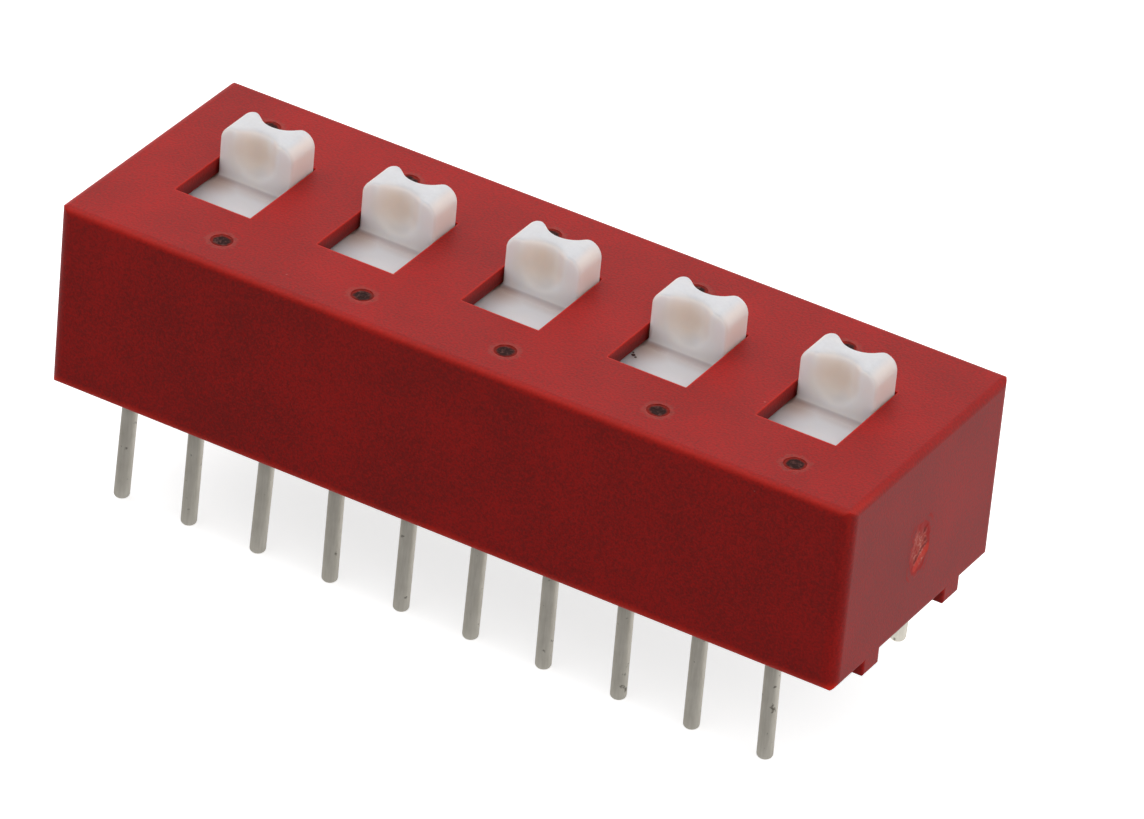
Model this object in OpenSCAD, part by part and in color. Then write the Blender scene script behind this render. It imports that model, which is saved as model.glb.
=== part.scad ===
// Five station dip switch with raised slides, two poles a station, through-hole pins.
// Millimetres. X runs along the row of stations, Y from the front row of pins to the back row, Z up.
// The origin is the middle of the pin grid, on the plane the four feet stand on.

/* [Pin grid] */
// Distance from one pin to the next in a row
pin_pitch = 2.54; // [2.2:0.02:3.06]
// Distance between the two rows of pins
row_spacing = 7.62; // [6.3:0.02:7.8]
// Diameter of the round leg of a terminal
pin_d = 0.508; // [0.4:0.002:0.6]
// Length of pin below the feet
pin_below = 3.24; // [2.5:0.02:6]
// Chamfer on the lower end of a pin
pin_tip = 0.1; // [0.02:0.01:0.18]
// Width along the case of the flat shank above the leg
shank_x = 0.7; // [0.55:0.05:1]
// Thickness across the case of the flat shank
shank_y = 0.52; // [0.4:0.02:0.56]
// Length of shank that shows below the seal
shank_show = 0.1; // [0.05:0.01:0.15]

/* [Case] */
// Width of the case, front to back
case_w = 9.65; // [9.3:0.05:12]
// Height of the case from its lower rim to its top
case_h = 6.25; // [6:0.05:8]
// Case left beyond the outermost station at each end
end_margin = 1.05; // [0.7:0.05:3]
// Rounding of the long outer edges of the case
edge_r = 0.25; // [0.05:0.01:0.4]
// Rounding of the upright corners of the case
corner_r = 0.45; // [0.1:0.05:0.5]
// Thickness of the top wall round the windows
top_wall = 0.55; // [0.4:0.05:0.9]
// Thickness of the long side walls
side_wall = 0.55; // [0.4:0.05:0.7]
// Thickness of the end walls beside the terminal base
end_wall = 0.9; // [0.6:0.05:1.4]
// Thickness of the rib between two slides
rib_w = 0.7; // [0.4:0.05:1]
// Height of a foot below the lower rim
foot_h = 0.4; // [0.2:0.05:0.8]
// Width of a foot, front to back
foot_w = 1; // [0.6:0.05:1.6]
// Distance of each foot from the long middle line
foot_y = 2.43; // [1.5:0.01:3.4]
// Rounding of the edges of a foot
foot_edge_r = 0.1; // [0.02:0.01:0.15]

/* [Windows] */
// Length of a window along the case
window_x = 2.7; // [2.2:0.05:3.4]
// Length of a window across the case
window_y = 3.7; // [3:0.05:3.75]

/* [Marks] */
// Diameter of a dark dot
dot_d = 0.7; // [0.4:0.05:1]
// Depth of a dark dot
dot_deep = 0.12; // [0.05:0.01:0.3]
// Distance of the front dots from the long middle line
dot_front_y = 3.45; // [2.8:0.05:4.2]
// Distance of the back dots from the long middle line
dot_back_y = 3.05; // [2.6:0.05:4.2]
// Drift of each front dot along the case, left to right
dot_front_drift = [0.1, 0, -0.09, 0.07, -0.38];
// Drift of each back dot along the case, left to right
dot_back_drift = [0.17, 0.1, 0.07, 0.1, 0.14];
// Width of the gate scar on the right end
scar_w = 1.25; // [1.15:0.05:2]
// Height of the gate scar
scar_h = 1.9; // [1.4:0.05:2.6]
// Rounding of the outline of the gate scar
scar_corner_r = 0.5; // [0.2:0.05:0.55]
// Depth of the gate scar
scar_deep = 0.08; // [0.03:0.01:0.2]
// Height of the middle of the gate scar above the lower rim
scar_z = 2.7; // [1.8:0.05:3.4]
// Offset of the gate scar from the long middle line
scar_y = -0.1; // [-1:0.05:1]
// Diameter of the broken stub left in the gate scar
stub_d = 0.4; // [0.2:0.05:0.8]

/* [Slide] */
// Length of a tooth across the case
tooth_y = 1.3; // [1.1:0.05:1.8]
// Height of a tooth above the top of the case
tooth_up = 1.22; // [0.6:0.01:2.5]
// Rounding of the left and right top edges of a tooth
tooth_shoulder_r = 0.5; // [0.1:0.02:0.56]
// Rounding of the other edges of a tooth
tooth_edge_r = 0.1; // [0.03:0.01:0.16]
// Radius of the cup in each face of a tooth
cup_r = 0.76; // [0.5:0.01:0.9]
// Depth of the cup
cup_deep = 0.43; // [0.1:0.01:0.45]
// Height of the lower lip of the cup above the slide plate
cup_lip = 0.42; // [0.2:0.02:0.8]
// Thickness of the slide plate
plate_t = 0.85; // [0.5:0.05:1.2]
// Length across the case of the carrier under the plate
carrier_y = 2.4; // [1.6:0.05:3]
// Gap between the carrier and the contact strips
carrier_up = 0.3; // [0.1:0.05:0.5]
// How far a spring bore runs up into the plate
bore_up = 0.3; // [0.1:0.05:0.5]

/* [Contacts] */
// Thickness of the terminal base
base_t = 1.6; // [1.2:0.05:1.95]
// Thickness of the epoxy seal
seal_t = 0.45; // [0.2:0.05:0.8]
// Distance of the seal above the lower rim
seal_up = 0.15; // [0.05:0.05:0.4]
// Width of a contact strip
strip_w = 0.9; // [0.6:0.05:1.4]
// Thickness of a contact strip
strip_t = 0.25; // [0.15:0.01:0.3]
// Gap between the outer end of a strip and the side wall
strip_clear = 0.08; // [0.04:0.01:0.12]
// Gap between the two contact strips of a pole
strip_gap = 0.5; // [0.3:0.05:0.7]
// Diameter of a contact ball
ball_d = 1.2; // [0.9:0.02:1.3]
// Diameter of the spring wire
wire_d = 0.16; // [0.08:0.01:0.2]
// Turns of a coil spring
spring_turns = 4; // [3:1:5]

/* [Fits] */
// Running gap of a slide in the case
slide_gap = 0.05; // [0.02:0.01:0.08]
// Gap between pieces that are pressed or cast together
seat_gap = 0.01; // [0.005:0.005:0.03]
// Gap of a ball in its bore and over the strips
ball_gap = 0.03; // [0.02:0.01:0.08]
// Gap between a coil spring and its bore
spring_gap = 0.1; // [0.04:0.01:0.15]

/* [Hidden] */
$fn = 48;
over = 1;
stations = 5;
poles = 2;
columns = stations * poles;
station_pitch = poles * pin_pitch;
pole_x = pin_pitch / 2;

case_len = stations * station_pitch + 2 * end_margin;
rim_z = foot_h;
case_top = rim_z + case_h;
ceiling_z = case_top - top_wall;
cavity_w = case_w - 2 * side_wall;
pocket_x = station_pitch - rib_w;
nest_len = case_len - 2 * end_wall;

seal_z = rim_z + seal_up;
base_z = seal_z + seal_t;
base_top = base_z + base_t;
strip_top = base_top + strip_t;
nest_top = base_top + seat_gap;

stroke = window_y - 2 * slide_gap - tooth_y;
rest_y = stroke / 2;
tooth_x = window_x - 2 * slide_gap;
plate_x = pocket_x - 2 * slide_gap;
plate_y = cavity_w - stroke - 2 * slide_gap;
plate_top = ceiling_z - slide_gap;
plate_z = plate_top - plate_t;
tooth_top = case_top + tooth_up;
cup_off = cup_r - cup_deep;
cup_half = sqrt(cup_r * cup_r - cup_off * cup_off);
cup_z = plate_top + cup_lip + cup_half;

ball_z = strip_top + ball_gap + ball_d / 2;
bore_d = ball_d + 2 * ball_gap;
carrier_z = strip_top + carrier_up;
bore_top = plate_z + bore_up;
spring_d = bore_d - 2 * spring_gap;
coil_r = (spring_d - wire_d) / 2;
ring_reach = (ball_d + wire_d) / 2 + seat_gap;
spring_low = ball_z + sqrt(ring_reach * ring_reach - coil_r * coil_r);
spring_high = bore_top - wire_d / 2 - seat_gap;
coil_rise = (spring_high - spring_low) / (4 * spring_turns);
coil_tilt = atan(coil_rise / coil_r);
coil_tilt_r = sqrt(coil_r * coil_r + coil_rise * coil_rise);
coil_trim = 3;
joint_d = 1.1 * wire_d;

pin_y = row_spacing / 2;
shank_z = seal_z - shank_show;
leg_h = pin_below + shank_z;
strip_end = cavity_w / 2 - strip_clear;

case_red = "firebrick";
slide_white = "whitesmoke";
base_black = [0.12, 0.12, 0.13];
epoxy_dark = [0.2, 0.16, 0.13];
pin_tin = "silver";
ball_gold = "gold";
spring_steel = "gainsboro";

function station_x(n) = (n - (stations + 1) / 2) * station_pitch;
function column_x(n) = (n - (columns + 1) / 2) * pin_pitch;

// ---- shapes used more than once ----

// Rectangle in the middle of the plane with rounded corners
module soft_rect(w, h, r) {
  square([w - 2 * r, h], center = true);
  square([w, h - 2 * r], center = true);
  for (sx = [-1, 1], sy = [-1, 1]) {
    translate([sx * (w / 2 - r), sy * (h / 2 - r)])
      circle(r = r);
  }
}

// Bar along X with a rounded section
module bar_x(l, w, h, r) {
  rotate([90, 0, 90])
    linear_extrude(height = l, center = true)
      soft_rect(w, h, r);
}

// Bar along Y with a rounded section
module bar_y(w, l, h, r) {
  rotate([90, 0, 0])
    linear_extrude(height = l, center = true)
      soft_rect(w, h, r);
}

// Block standing on z = 0, edges rounded by r and upright corners by upright_r
module soft_block(l, w, h, r, upright_r) {
  translate([0, 0, h / 2])
    intersection() {
      bar_x(l, w, h, r);
      bar_y(l, w, h, r);
      linear_extrude(height = h, center = true)
        soft_rect(l, w, upright_r);
    }
}

// Plain block centred in X and Y between two heights
module slab(l, w, z0, z1) {
  translate([-l / 2, -w / 2, z0])
    cube([l, w, z1 - z0]);
}

// ---- case ----

module case_feet() {
  for (sx = [-1, 1], sy = [-1, 1]) {
    translate([sx * (case_len - end_wall) / 2, sy * foot_y, 0])
      soft_block(end_wall, foot_w, foot_h + end_wall, foot_edge_r, foot_edge_r);
  }
}

module case_pits() {
  for (n = [1:stations]) {
    translate([station_x(n) + pole_x + dot_front_drift[n - 1], -dot_front_y, case_top - dot_deep])
      cylinder(d = dot_d, h = over);
    translate([station_x(n) - pole_x + dot_back_drift[n - 1], dot_back_y, case_top - dot_deep])
      cylinder(d = dot_d, h = over);
  }
}

module gate_scar() {
  translate([case_len / 2 - scar_deep, scar_y, rim_z + scar_z])
    rotate([90, 0, 90])
      difference() {
        linear_extrude(height = over)
          soft_rect(scar_w, scar_h, scar_corner_r);
        cylinder(d = stub_d, h = scar_deep / 2);
      }
}

module housing() {
  color(case_red)
    difference() {
      union() {
        translate([0, 0, rim_z])
          soft_block(case_len, case_w, case_h, edge_r, corner_r);
        case_feet();
      }
      slab(nest_len, cavity_w, -over, nest_top);
      for (n = [1:stations]) {
        translate([station_x(n), 0, 0]) {
          slab(pocket_x, cavity_w, base_top, ceiling_z);
          slab(window_x, window_y, ceiling_z - over, case_top + over);
        }
      }
      case_pits();
      gate_scar();
    }
}

// ---- slides with their springs and balls ----

module tooth() {
  tall = tooth_top - plate_z;
  translate([0, 0, tooth_top - tall / 2])
    difference() {
      intersection() {
        bar_y(tooth_x, tooth_y + over, tall, tooth_shoulder_r);
        bar_x(tooth_x + over, tooth_y, tall, tooth_edge_r);
        linear_extrude(height = tall, center = true)
          soft_rect(tooth_x, tooth_y, tooth_edge_r);
      }
      for (sy = [-1, 1]) {
        translate([0, sy * (tooth_y / 2 + cup_off), cup_z - tooth_top + tall / 2]) {
          sphere(r = cup_r);
          cylinder(r = cup_r, h = tall);
        }
      }
    }
}

module slide_body(n) {
  color(slide_white)
    translate([station_x(n), rest_y, 0])
      difference() {
        union() {
          tooth();
          slab(plate_x, plate_y, plate_z, plate_top);
          slab(plate_x, carrier_y, carrier_z, plate_z + plate_t / 2);
        }
        for (side = [-1, 1]) {
          translate([side * pole_x, 0, carrier_z - over])
            cylinder(d = bore_d, h = bore_top - carrier_z + over);
        }
      }
}

module slide_1() {
  slide_body(1);
}

module slide_2() {
  slide_body(2);
}

module slide_3() {
  slide_body(3);
}

module slide_4() {
  slide_body(4);
}

module slide_5() {
  slide_body(5);
}

// Half a turn of spring wire on the side of positive Y, its two ends tilted apart in height.
// It stops just short of the next half turn, and a round joint closes the gap.
module half_turn(r, tilt) {
  rotate([0, tilt, 0]) {
    rotate([0, 0, coil_trim])
      rotate_extrude(angle = 180 - 2 * coil_trim)
        translate([r, 0])
          circle(d = wire_d);
    translate([-r, 0, 0])
      sphere(d = joint_d);
  }
}

// Open coil of tilted half turns with one flat half turn at each end
module coil_spring(n, side) {
  color(spring_steel)
    translate([station_x(n) + side * pole_x, rest_y, spring_low]) {
      for (k = [0:2 * spring_turns - 1]) {
        translate([0, 0, (2 * k + 1) * coil_rise])
          rotate([0, 0, 180 * k])
            half_turn(coil_tilt_r, coil_tilt);
      }
      rotate([0, 0, 180])
        half_turn(coil_r, 0);
      translate([0, 0, spring_high - spring_low])
        half_turn(coil_r, 0);
    }
}

module spring_1_left() {
  coil_spring(1, -1);
}

module spring_1_right() {
  coil_spring(1, 1);
}

module spring_2_left() {
  coil_spring(2, -1);
}

module spring_2_right() {
  coil_spring(2, 1);
}

module spring_3_left() {
  coil_spring(3, -1);
}

module spring_3_right() {
  coil_spring(3, 1);
}

module spring_4_left() {
  coil_spring(4, -1);
}

module spring_4_right() {
  coil_spring(4, 1);
}

module spring_5_left() {
  coil_spring(5, -1);
}

module spring_5_right() {
  coil_spring(5, 1);
}

module ball(n, side) {
  color(ball_gold)
    translate([station_x(n) + side * pole_x, rest_y, ball_z])
      sphere(d = ball_d);
}

module contact_ball_1_left() {
  ball(1, -1);
}

module contact_ball_1_right() {
  ball(1, 1);
}

module contact_ball_2_left() {
  ball(2, -1);
}

module contact_ball_2_right() {
  ball(2, 1);
}

module contact_ball_3_left() {
  ball(3, -1);
}

module contact_ball_3_right() {
  ball(3, 1);
}

module contact_ball_4_left() {
  ball(4, -1);
}

module contact_ball_4_right() {
  ball(4, 1);
}

module contact_ball_5_left() {
  ball(5, -1);
}

module contact_ball_5_right() {
  ball(5, 1);
}

// ---- terminal base, seal and terminals ----

// Holes for the shanks of all twenty terminals
module shank_holes(z0, z1) {
  for (n = [1:columns], row = [-1, 1]) {
    translate([column_x(n), row * pin_y, 0])
      slab(shank_x + 2 * seat_gap, shank_y + 2 * seat_gap, z0 - over, z1 + over);
  }
}

module terminal_base() {
  color(base_black)
    difference() {
      slab(nest_len - 2 * seat_gap, cavity_w - 2 * seat_gap, base_z, base_top);
      shank_holes(base_z, base_top);
    }
}

module epoxy_seal() {
  color(epoxy_dark)
    difference() {
      slab(nest_len - 2 * seat_gap, cavity_w - 2 * seat_gap, seal_z, base_z - seat_gap);
      shank_holes(seal_z, base_z);
    }
}

// Round leg with a chamfered tip, from below the feet up to the shank
module round_leg() {
  r = pin_d / 2;
  translate([0, 0, -pin_below])
    rotate_extrude()
      polygon([
        [0, 0],
        [r - pin_tip, 0],
        [r, pin_tip],
        [r, leg_h],
        [0, leg_h],
      ]);
}

// One terminal: the round leg, the flat shank set in the base, and the contact strip that runs
// inward from its head to reach_y. The front terminal ends short of the gap between the strips,
// and the back terminal runs past the middle up to it.
module terminal(n, row, reach_y) {
  color(pin_tin)
    translate([column_x(n), 0, 0]) {
      translate([0, row * pin_y, 0]) {
        round_leg();
        slab(shank_x, shank_y, shank_z, strip_top - strip_t / 2);
      }
      translate([-strip_w / 2, min(row * strip_end, reach_y), base_top + seat_gap])
        cube([strip_w, abs(row * strip_end - reach_y), strip_t - seat_gap]);
    }
}

module front_terminal(n) {
  terminal(n, -1, -rest_y - strip_gap / 2);
}

module back_terminal(n) {
  terminal(n, 1, -rest_y + strip_gap / 2);
}

module terminal_front_1() {
  front_terminal(1);
}

module terminal_front_2() {
  front_terminal(2);
}

module terminal_front_3() {
  front_terminal(3);
}

module terminal_front_4() {
  front_terminal(4);
}

module terminal_front_5() {
  front_terminal(5);
}

module terminal_front_6() {
  front_terminal(6);
}

module terminal_front_7() {
  front_terminal(7);
}

module terminal_front_8() {
  front_terminal(8);
}

module terminal_front_9() {
  front_terminal(9);
}

module terminal_front_10() {
  front_terminal(10);
}

module terminal_back_1() {
  back_terminal(1);
}

module terminal_back_2() {
  back_terminal(2);
}

module terminal_back_3() {
  back_terminal(3);
}

module terminal_back_4() {
  back_terminal(4);
}

module terminal_back_5() {
  back_terminal(5);
}

module terminal_back_6() {
  back_terminal(6);
}

module terminal_back_7() {
  back_terminal(7);
}

module terminal_back_8() {
  back_terminal(8);
}

module terminal_back_9() {
  back_terminal(9);
}

module terminal_back_10() {
  back_terminal(10);
}

housing();
terminal_base();
epoxy_seal();
slide_1();
slide_2();
slide_3();
slide_4();
slide_5();
spring_1_left();
spring_1_right();
spring_2_left();
spring_2_right();
spring_3_left();
spring_3_right();
spring_4_left();
spring_4_right();
spring_5_left();
spring_5_right();
contact_ball_1_left();
contact_ball_1_right();
contact_ball_2_left();
contact_ball_2_right();
contact_ball_3_left();
contact_ball_3_right();
contact_ball_4_left();
contact_ball_4_right();
contact_ball_5_left();
contact_ball_5_right();
terminal_front_1();
terminal_front_2();
terminal_front_3();
terminal_front_4();
terminal_front_5();
terminal_front_6();
terminal_front_7();
terminal_front_8();
terminal_front_9();
terminal_front_10();
terminal_back_1();
terminal_back_2();
terminal_back_3();
terminal_back_4();
terminal_back_5();
terminal_back_6();
terminal_back_7();
terminal_back_8();
terminal_back_9();
terminal_back_10();
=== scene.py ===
import math

import bmesh
import bpy
import numpy as np
from mathutils import Matrix, Quaternion, Vector, noise


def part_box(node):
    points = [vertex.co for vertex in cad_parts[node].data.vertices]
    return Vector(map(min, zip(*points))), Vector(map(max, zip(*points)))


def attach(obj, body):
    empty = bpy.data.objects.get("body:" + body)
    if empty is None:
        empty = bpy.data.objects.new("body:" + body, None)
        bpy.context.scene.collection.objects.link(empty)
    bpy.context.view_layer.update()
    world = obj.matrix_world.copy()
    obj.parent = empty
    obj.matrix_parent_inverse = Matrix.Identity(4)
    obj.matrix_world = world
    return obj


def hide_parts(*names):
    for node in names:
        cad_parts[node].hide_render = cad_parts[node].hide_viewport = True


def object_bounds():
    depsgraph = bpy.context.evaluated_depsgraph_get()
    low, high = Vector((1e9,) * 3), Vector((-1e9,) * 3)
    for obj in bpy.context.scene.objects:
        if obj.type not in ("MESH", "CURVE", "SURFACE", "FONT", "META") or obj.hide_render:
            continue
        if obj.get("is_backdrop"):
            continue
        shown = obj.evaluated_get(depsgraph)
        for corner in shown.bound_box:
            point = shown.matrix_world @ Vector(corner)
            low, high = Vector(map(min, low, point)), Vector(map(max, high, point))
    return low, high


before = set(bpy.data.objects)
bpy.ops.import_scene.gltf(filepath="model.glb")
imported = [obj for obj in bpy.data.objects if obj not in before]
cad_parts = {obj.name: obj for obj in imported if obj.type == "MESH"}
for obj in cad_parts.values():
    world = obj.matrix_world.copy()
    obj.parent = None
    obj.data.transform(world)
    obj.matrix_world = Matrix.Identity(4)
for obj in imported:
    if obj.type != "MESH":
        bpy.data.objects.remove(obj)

mm = 0.001
cadLow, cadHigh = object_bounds()
stations = 5
columns = 10
print("frame loaded:", len(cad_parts), "parts")


def linear(hexColour):
    # sRGB hex to the linear colour that a shader takes
    parts = [int(hexColour[i:i + 2], 16) / 255 for i in (1, 3, 5)]
    return (*[c / 12.92 if c <= 0.04045 else ((c + 0.055) / 1.055) ** 2.4 for c in parts], 1.0)


def perMm(size):
    # noise scale whose features are about this many millimetres apart
    return 1000.0 / size


def addNode(mat, kind, settings=None, links=None):
    # one shader node; what is linked is a socket, or else a value to set on the input
    node = mat.node_tree.nodes.new(kind)
    for name, value in (settings or {}).items():
        setattr(node, name, value)
    for name, value in (links or {}).items():
        if isinstance(value, bpy.types.NodeSocket):
            mat.node_tree.links.new(value, node.inputs[name])
        else:
            node.inputs[name].default_value = value
    return node


def reckon(mat, operation, *values):
    return addNode(mat, "ShaderNodeMath", {"operation": operation}, dict(enumerate(values))).outputs[0]


def product(mat, first, *others):
    for other in others:
        first = reckon(mat, "MULTIPLY", first, other)
    return first


def ramp(mat, value, start=(0.0, 1.0), to=(0.0, 1.0), smooth=False):
    # value taken from one range to another, and held at its ends
    kind = "SMOOTHSTEP" if smooth else "LINEAR"
    links = {"Value": value, "From Min": start[0], "From Max": start[1], "To Min": to[0], "To Max": to[1]}
    return addNode(mat, "ShaderNodeMapRange", {"interpolation_type": kind}, links).outputs[0]


def blended(mat, amount, under, over):
    # one colour laid over another by an amount of 0 to 1; hex colours or sockets
    under, over = (linear(colour) if isinstance(colour, str) else colour for colour in (under, over))
    return addNode(mat, "ShaderNodeMix", {"data_type": "RGBA"}, {0: amount, 6: under, 7: over}).outputs[2]


def mixedTone(mat, share, first, second):
    return addNode(mat, "ShaderNodeMix", {"data_type": "FLOAT"}, {0: share, 2: first, 3: second}).outputs[0]


def axesOf(mat, vector):
    # its parts along the case, across it and up
    return addNode(mat, "ShaderNodeSeparateXYZ", {}, {0: vector}).outputs[:]


def flatPoint(mat, first, second):
    return addNode(mat, "ShaderNodeCombineXYZ", {}, {0: first, 1: second}).outputs[0]


def noiseTone(mat, place, size, detail, roughness=0.5):
    # noise of 0 to 1, size in mm between its bumps
    links = {"Vector": place, "Scale": perMm(size), "Detail": detail, "Roughness": roughness}
    return addNode(mat, "ShaderNodeTexNoise", {}, links).outputs[0]


def toNearest(mat, place, points):
    # distance to the nearest of some points that are given in mm
    nearest = None
    for point in points:
        links = {0: place, 1: [part * mm for part in point]}
        away = addNode(mat, "ShaderNodeVectorMath", {"operation": "DISTANCE"}, links).outputs["Value"]
        nearest = away if nearest is None else reckon(mat, "MINIMUM", nearest, away)
    return nearest


def finished(mat, colour, inputs, bumps=None, rounding=None):
    # closes a material; bumps are (height, depth in mm, strength), rounding is the radius of soft edges in mm
    links = {"Base Color": colour, **inputs}
    if bumps:
        height, depth, strength = bumps
        bump = {"Height": height, "Distance": depth * mm, "Strength": strength}
        if rounding:
            bump["Normal"] = addNode(mat, "ShaderNodeBevel", {"samples": 4}, {"Radius": rounding * mm}).outputs[0]
        links["Normal"] = addNode(mat, "ShaderNodeBump", {}, bump).outputs[0]
    skin = addNode(mat, "ShaderNodeBsdfPrincipled", {}, links)
    addNode(mat, "ShaderNodeOutputMaterial", {}, {"Surface": skin.outputs[0]})
    return mat


def newMaterial(name):
    # an empty material, and the place on the piece that its patterns are laid out from
    mat = bpy.data.materials.new(name)
    mat.use_nodes = True
    mat.node_tree.nodes.clear()
    return mat, addNode(mat, "ShaderNodeTexCoord").outputs["Object"]


def dress(nodeName, mat):
    # gives a part from the frame its finished material
    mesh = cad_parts[nodeName].data
    mesh.materials.clear()
    mesh.materials.append(mat)
    for poly in mesh.polygons:
        poly.material_index = 0


def makePiece(name, bm, mats, body, smooth=35):
    # a new piece of the assembly; edges sharper than this many degrees stay sharp
    bmesh.ops.recalc_face_normals(bm, faces=bm.faces)
    mesh = bpy.data.meshes.new(name)
    bm.to_mesh(mesh)
    bm.free()
    for mat in mats:
        mesh.materials.append(mat)
    piece = bpy.data.objects.new(name, mesh)
    bpy.context.scene.collection.objects.link(piece)
    mesh.shade_smooth()
    mesh.set_sharp_from_angle(angle=math.radians(smooth))
    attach(piece, body)
    return piece


def corners(nodeName):
    # every corner of a part's mesh, in mm
    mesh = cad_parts[nodeName].data
    found = np.empty(len(mesh.vertices) * 3)
    mesh.vertices.foreach_get("co", found)
    return found.reshape(-1, 3) / mm


def cutCopy(nodeName, height, keepBelow):
    # copy of a part's mesh, cut level at a height in mm and closed there
    bm = bmesh.new()
    bm.from_mesh(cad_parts[nodeName].data)
    bmesh.ops.remove_doubles(bm, verts=bm.verts, dist=0.0001 * mm)
    whole = bm.verts[:] + bm.edges[:] + bm.faces[:]
    cut = bmesh.ops.bisect_plane(bm, geom=whole, plane_co=(0, 0, height * mm), plane_no=(0, 0, 1),
                                 clear_outer=keepBelow, clear_inner=not keepBelow)
    rim = [e for e in cut["geom_cut"] if isinstance(e, bmesh.types.BMEdge)]
    bmesh.ops.holes_fill(bm, edges=rim, sides=0)
    for face in bm.faces:
        face.material_index = 0
    return bm


def wander(point, size, seed=0.0):
    # smooth noise of about -1 to 1, size in mm between its bumps
    return noise.noise(Vector(point) / size + Vector((seed, seed * 1.7, -seed)))


def direction(azimuth, elevation):
    # unit vector towards a place, in degrees round from straight in front and up from the floor
    az, el = math.radians(azimuth), math.radians(elevation)
    return Vector((math.sin(az) * math.cos(el), -math.cos(az) * math.cos(el), math.sin(el)))


viewPoint = {
    "azimuth": 28.17,      # degrees round from straight in front, towards the right
    "elevation": 32.10,
    "roll": 5.49,
    "distance": 266.99,    # mm from the aim
    "aim": (1.134, 1.117, 2.304),
    "lens": 279.28,        # mm, on a 36 mm sensor
}

camera = bpy.data.objects.new("camera", bpy.data.cameras.new("camera"))
bpy.context.scene.collection.objects.link(camera)
camera.data.lens = viewPoint["lens"]
camera.data.sensor_width = 36
camera.data.clip_start, camera.data.clip_end = 0.01, 10
back = direction(viewPoint["azimuth"], viewPoint["elevation"])
camera.location = (Vector(viewPoint["aim"]) + back * viewPoint["distance"]) * mm
camera.rotation_mode = "QUATERNION"
camera.rotation_quaternion = (-back).to_track_quat("-Z", "Y") @ Quaternion((0, 0, 1), math.radians(viewPoint["roll"]))
bpy.context.scene.camera = camera

# soft lamps; a lamp that isn't mirrored lights the part without showing on its smooth faces
studio = {
    "overhead": {"azimuth": 20, "elevation": 78, "strength": 0.55, "spread": 80, "mirrored": True},
    "leftSide": {"azimuth": -92, "elevation": 42, "strength": 0.59, "spread": 35, "mirrored": True},
    "leftBehind": {"azimuth": -140, "elevation": 45, "strength": 0.59, "spread": 40, "mirrored": False},
    "rightSide": {"azimuth": 100, "elevation": 25, "strength": 0.66, "spread": 60, "mirrored": True},
}
for name, lamp in studio.items():
    light = bpy.data.lights.new(name, "SUN")
    light.energy = lamp["strength"]
    light.angle = math.radians(lamp["spread"])
    source = bpy.data.objects.new(name, light)
    bpy.context.scene.collection.objects.link(source)
    aim = direction(lamp["azimuth"], lamp["elevation"])
    source.rotation_mode = "QUATERNION"
    source.rotation_quaternion = aim.to_track_quat("Z", "Y")
    source.location = aim * 0.3
    source.visible_glossy = lamp["mirrored"]

# the room is bright behind the part and dark in front of it, for what is mirrored in the part
surround = {"fill": 0.45, "seen": 1.0, "mirroredInFront": 0.06}
world = bpy.data.worlds.new("surround")
bpy.context.scene.world = world
world.use_nodes = True
world.node_tree.nodes.clear()
path = addNode(world, "ShaderNodeLightPath")
level = ramp(world, path.outputs["Is Diffuse Ray"], (0.0, 1.0), (surround["seen"], surround["fill"]))
towards = axesOf(world, addNode(world, "ShaderNodeTexCoord").outputs["Generated"])
mirrored = ramp(world, towards[1], (-0.3, 0.5), (surround["mirroredInFront"], surround["seen"]), smooth=True)
level = mixedTone(world, path.outputs["Is Glossy Ray"], level, mirrored)
sky = addNode(world, "ShaderNodeBackground", {}, {"Color": (1, 1, 1, 1), "Strength": level})
addNode(world, "ShaderNodeOutputWorld", {}, {"Surface": sky.outputs[0]})

# Pale matt paper sweep: white where it is open, with the soft shadow of the part on it.
# It throws less light back up than it shows, as a large dark room round the table would.
paper = {
    "colour": "#F5F5F5",
    "fibre": "#F0F0F0",    # the darker fibres in it
    "bounce": "#9A9A9A",   # as the part is lit by it
    "dim": "#101010",      # as the part mirrors it, before its sheen
    "lift": 0.68,          # added for the eye, so that open paper is white
    "sheenBehind": 0.95,   # brightness of the paper in reflections, behind the part and in front of it
    "sheenInFront": 0.36,
    "radius": 1500,        # mm
}
paperMat, place = newMaterial("mattPaperSweep")
path = addNode(paperMat, "ShaderNodeLightPath")
fibre = noiseTone(paperMat, place, 4, 3.0)
tint = blended(paperMat, fibre, paper["fibre"], paper["colour"])
tint = blended(paperMat, path.outputs["Is Diffuse Ray"], tint, paper["bounce"])
tint = blended(paperMat, path.outputs["Is Glossy Ray"], tint, paper["dim"])
matt = addNode(paperMat, "ShaderNodeBsdfDiffuse", {}, {"Color": tint})
behind = ramp(paperMat, axesOf(paperMat, place)[1], (-6 * mm, 3 * mm), (paper["sheenInFront"], paper["sheenBehind"]))
sheen = product(paperMat, path.outputs["Is Glossy Ray"], behind)
lift = reckon(paperMat, "MULTIPLY_ADD", path.outputs["Is Camera Ray"], paper["lift"], sheen)
glow = addNode(paperMat, "ShaderNodeEmission", {}, {"Color": (1, 1, 1, 1), "Strength": lift})
both = addNode(paperMat, "ShaderNodeAddShader", {}, {0: matt.outputs[0], 1: glow.outputs[0]})
addNode(paperMat, "ShaderNodeOutputMaterial", {}, {"Surface": both.outputs[0]})

bm = bmesh.new()
bmesh.ops.create_circle(bm, cap_ends=True, segments=96, radius=paper["radius"] * mm,
                        matrix=Matrix.Translation((0, 0, cadLow.z - 0.02 * mm)))
floorMesh = bpy.data.meshes.new("paperSweep")
bm.to_mesh(floorMesh)
bm.free()
floorMesh.materials.append(paperMat)
floor = bpy.data.objects.new("paperSweep", floorMesh)
bpy.context.scene.collection.objects.link(floor)
floor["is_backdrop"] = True
bpy.context.scene.view_settings.view_transform = "Standard"
print("camera, lamps and paper floor placed")


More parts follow.
